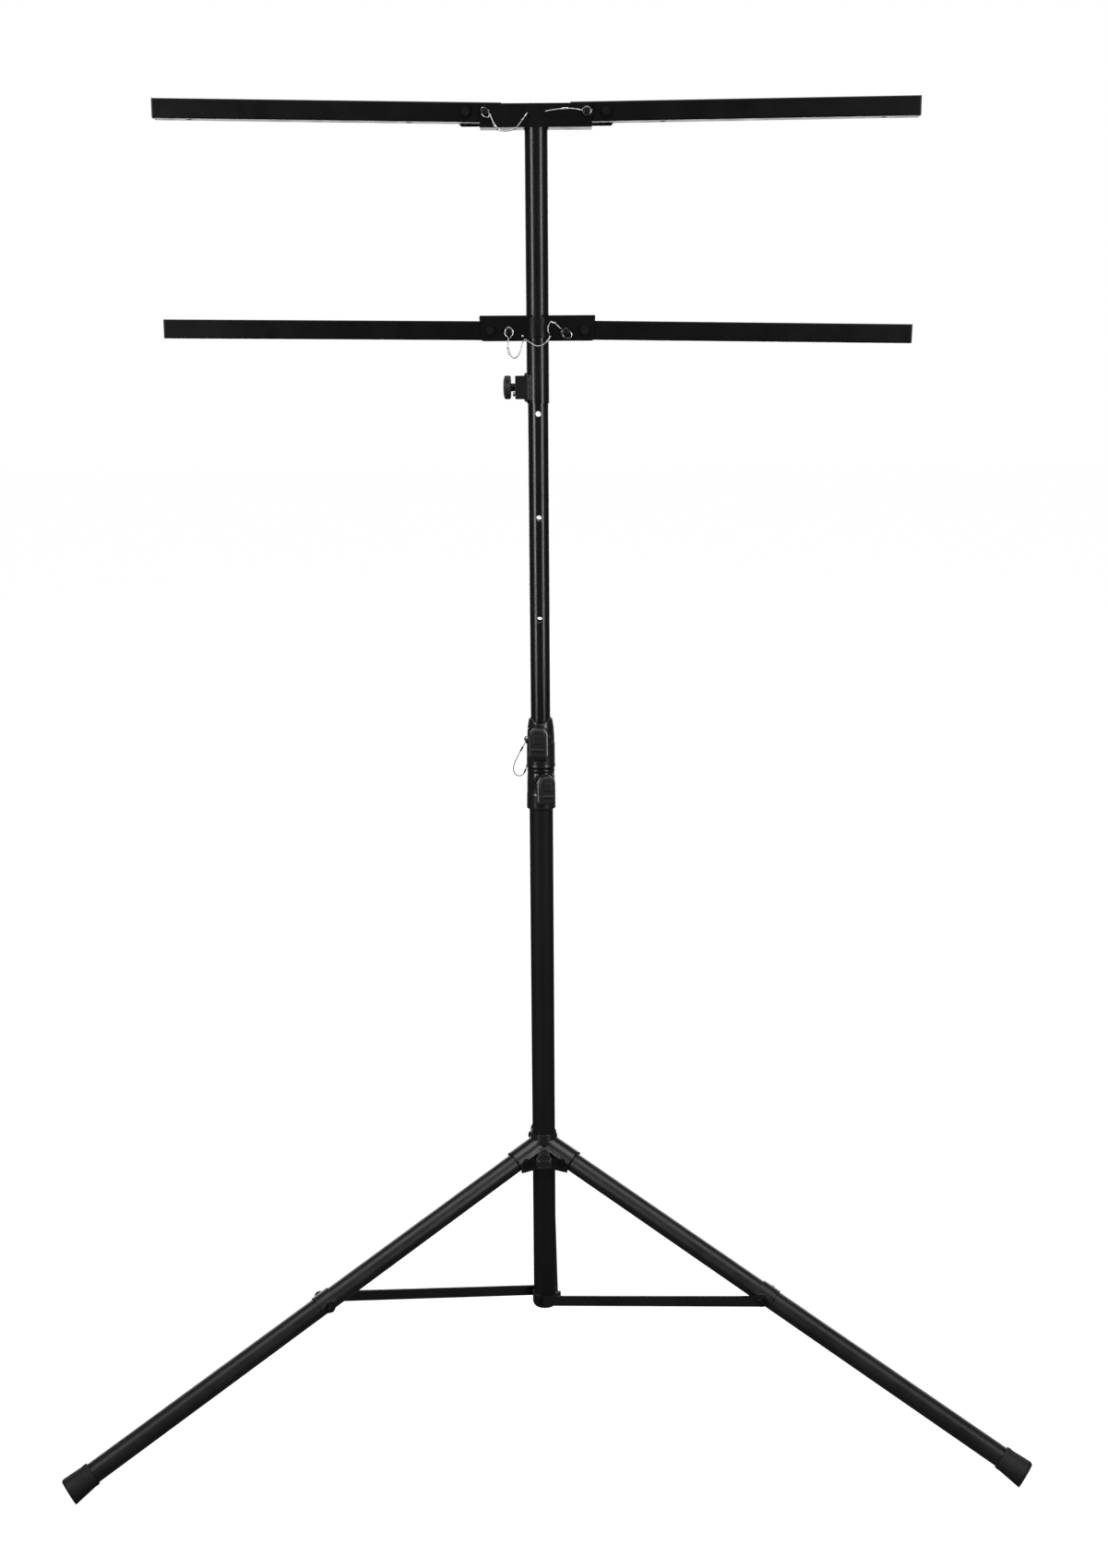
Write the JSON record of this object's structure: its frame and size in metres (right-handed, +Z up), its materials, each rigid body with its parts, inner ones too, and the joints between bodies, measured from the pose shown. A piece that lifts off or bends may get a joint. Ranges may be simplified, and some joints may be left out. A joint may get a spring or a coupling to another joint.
{
  "type": "crossbar tripod stand",
  "caption": "Black folding tripod stand with a telescoping mast and two folding square-tube crossbars held by steel lock pins on wire lanyards.",
  "frame": {"origin": "on the floor, at the axis of the mast", "axes": "+Z up along the mast, +X along the crossbars to the right as seen from the front, +Y towards the back leg"},
  "size_m": [1.5835, 1.3991, 2.2081],
  "materials": {
    "mast_black": "satin",
    "leg_black": "textured satin",
    "bar_black": "matte",
    "cast_black": "gloss",
    "plastic_black": "satin",
    "rubber_black": "matte",
    "bolt_black": "satin",
    "zinc_steel": "bright",
    "cord_black": "matte"
  },
  "bodies": {
    "base": {"outer_mast": "mast_black", "bottom_bracket": "cast_black", "lower_collar": "cast_black", "lower_guide_bush": "plastic_black", "strut_pivot_bolts": "bolt_black"},
    "lower_knob": {"lower_collar_knob": "plastic_black"},
    "middle": {"middle_mast": "mast_black", "middle_foot_bush": "plastic_black", "upper_collar": "cast_black", "upper_guide_bush": "plastic_black", "safety_pin_lanyard": "cord_black"},
    "upper_knob": {"upper_collar_knob": "plastic_black"},
    "pull_pin": {"safety_pin": "zinc_steel"},
    "inner": {"inner_mast": "mast_black", "inner_foot_bush": "plastic_black"},
    "top_plug": {"inner_top_plug": "plastic_black"},
    "t_top": {"sleeve_tube": "mast_black", "upper_bracket": "bar_black", "lower_bracket_front": "bar_black", "lower_bracket_rear": "bar_black", "sleeve_clamp_boss": "leg_black", "boss_set_screw": "zinc_steel", "upper_pivot_bolts": "bolt_black", "lower_pivot_bolts": "bolt_black", "upper_left_lanyard": "zinc_steel", "upper_right_lanyard": "zinc_steel", "lower_left_lanyard": "zinc_steel", "lower_right_lanyard": "zinc_steel"},
    "clamp_knob": {"sleeve_knob": "plastic_black"},
    "hub": {"tripod_hub": "cast_black", "leg_pivot_bolts": "bolt_black"},
    "hub_screw": {"hub_knob": "plastic_black"},
    "upper_left": {"upper_left_arm": "bar_black", "upper_left_end_cap": "plastic_black"},
    "upper_left_pin": {"upper_left_lock_pin": "bolt_black"},
    "upper_right": {"upper_right_arm": "bar_black", "upper_right_end_cap": "plastic_black"},
    "upper_right_pin": {"upper_right_lock_pin": "bolt_black"},
    "lower_left": {"lower_left_arm": "bar_black", "lower_left_end_cap": "plastic_black"},
    "lower_left_pin": {"lower_left_lock_pin": "bolt_black"},
    "lower_right": {"lower_right_arm": "bar_black", "lower_right_end_cap": "plastic_black"},
    "lower_right_pin": {"lower_right_lock_pin": "bolt_black"},
    "left_leg_assembly": {"left_leg_knuckle": "plastic_black", "left_leg": "leg_black", "left_leg_clamp": "leg_black", "left_boot": "rubber_black"},
    "left_brace": {"left_strut": "leg_black"},
    "right_leg_assembly": {"right_leg_knuckle": "plastic_black", "right_leg": "leg_black", "right_leg_clamp": "leg_black", "right_boot": "rubber_black"},
    "right_brace": {"right_strut": "leg_black"},
    "back_leg_assembly": {"back_leg_knuckle": "plastic_black", "back_leg": "leg_black", "back_leg_clamp": "leg_black", "back_boot": "rubber_black"},
    "back_brace": {"back_strut": "leg_black"}
  },
  "joints": [
    {"name": "hub_slide", "type": "slide", "parent": "base", "child": "hub", "axis": [0, 0, 1], "range_m": [0, 0.591]},
    {"name": "left_leg_fold", "type": "hinge", "parent": "hub", "child": "left_leg_assembly", "pos_m": [-0.04256, -0.02624, 0.39], "axis": [0.5247, -0.8513, 0], "range_deg": [0, 66.7]},
    {"name": "right_leg_fold", "type": "hinge", "parent": "hub", "child": "right_leg_assembly", "pos_m": [0.044, -0.02374, 0.39], "axis": [0.4749, 0.8801, 0], "range_deg": [0, 66.7]},
    {"name": "back_leg_fold", "type": "hinge", "parent": "hub", "child": "back_leg_assembly", "pos_m": [-0.00144, 0.04998, 0.39], "axis": [-0.9996, -0.0288, 0], "range_deg": [0, 66.7]},
    {"name": "left_brace_fold", "type": "hinge", "parent": "base", "child": "left_brace", "pos_m": [0, 0, 0.101], "axis": [-0.5247, 0.8513, 0], "range_deg": [0, 68.6]},
    {"name": "right_brace_fold", "type": "hinge", "parent": "base", "child": "right_brace", "pos_m": [0, 0, 0.101], "axis": [-0.4749, -0.8801, 0], "range_deg": [0, 68.6]},
    {"name": "back_brace_fold", "type": "hinge", "parent": "base", "child": "back_brace", "pos_m": [0, 0, 0.101], "axis": [0.9996, 0.0288, 0], "range_deg": [0, 68.6]},
    {"name": "middle_slide", "type": "slide", "parent": "base", "child": "middle", "axis": [0, 0, 1], "range_m": [0, 0.65]},
    {"name": "inner_slide", "type": "slide", "parent": "middle", "child": "inner", "axis": [0, 0, 1], "range_m": [-0.51, 0]},
    {"name": "t_top_turn", "type": "hinge", "parent": "inner", "child": "top_plug", "pos_m": [0, 0, 2.1596], "axis": [0, 0, 1], "continuous": true},
    {"name": "t_top_lift", "type": "slide", "parent": "top_plug", "child": "t_top", "axis": [0, 0, 1], "range_m": [0, 0.45]},
    {"name": "lower_left_fold", "type": "hinge", "parent": "t_top", "child": "lower_left", "pos_m": [-0.077, 0, 1.848], "axis": [0, -1, 0], "range_deg": [0, 90]},
    {"name": "upper_left_fold", "type": "hinge", "parent": "t_top", "child": "upper_left", "pos_m": [-0.1115, 0, 2.1835], "axis": [0, -1, 0], "range_deg": [0, 90]},
    {"name": "lower_right_fold", "type": "hinge", "parent": "t_top", "child": "lower_right", "pos_m": [0.077, 0, 1.848], "axis": [0, 1, 0], "range_deg": [0, 90]},
    {"name": "upper_right_fold", "type": "hinge", "parent": "t_top", "child": "upper_right", "pos_m": [0.1115, 0, 2.1835], "axis": [0, 1, 0], "range_deg": [0, 90]},
    {"name": "upper_left_pin_pull", "type": "slide", "parent": "t_top", "child": "upper_left_pin", "axis": [0, -1, 0], "range_m": [0, 0.03]},
    {"name": "upper_right_pin_pull", "type": "slide", "parent": "t_top", "child": "upper_right_pin", "axis": [0, -1, 0], "range_m": [0, 0.03]},
    {"name": "lower_left_pin_pull", "type": "slide", "parent": "t_top", "child": "lower_left_pin", "axis": [0, -1, 0], "range_m": [0, 0.03]},
    {"name": "lower_right_pin_pull", "type": "slide", "parent": "t_top", "child": "lower_right_pin", "axis": [0, -1, 0], "range_m": [0, 0.03]},
    {"name": "safety_pin_pull", "type": "slide", "parent": "middle", "child": "pull_pin", "axis": [-0.866, -0.5, 0], "range_m": [0, 0.03]},
    {"name": "lower_knob_turn", "type": "hinge", "parent": "base", "child": "lower_knob", "pos_m": [0, 0, 1.087], "axis": [0.1908, -0.9816, 0], "range_deg": [0, 720]},
    {"name": "upper_knob_turn", "type": "hinge", "parent": "middle", "child": "upper_knob", "pos_m": [0, 0, 1.169], "axis": [-0.0698, -0.9976, 0], "range_deg": [0, 720]},
    {"name": "hub_knob_turn", "type": "hinge", "parent": "hub", "child": "hub_screw", "pos_m": [0, 0, 0.398], "axis": [0.0175, -0.9998, 0], "range_deg": [0, 720]},
    {"name": "sleeve_knob_turn", "type": "hinge", "parent": "t_top", "child": "clamp_knob", "pos_m": [0, 0, 1.7575], "axis": [-1, 0, 0], "range_deg": [0, 720]}
  ],
  "couplings": [
    {"joint": "left_leg_fold", "follows": "hub_slide", "rad_per_m": 1.9661},
    {"joint": "right_leg_fold", "follows": "hub_slide", "rad_per_m": 1.9661},
    {"joint": "back_leg_fold", "follows": "hub_slide", "rad_per_m": 1.9661},
    {"joint": "left_brace_fold", "follows": "hub_slide", "rad_per_m": 2.0227},
    {"joint": "right_brace_fold", "follows": "hub_slide", "rad_per_m": 2.0227},
    {"joint": "back_brace_fold", "follows": "hub_slide", "rad_per_m": 2.0227},
    {"joint": "upper_left_fold", "follows": "lower_left_fold", "ratio": 1},
    {"joint": "upper_right_fold", "follows": "lower_right_fold", "ratio": 1}
  ]
}
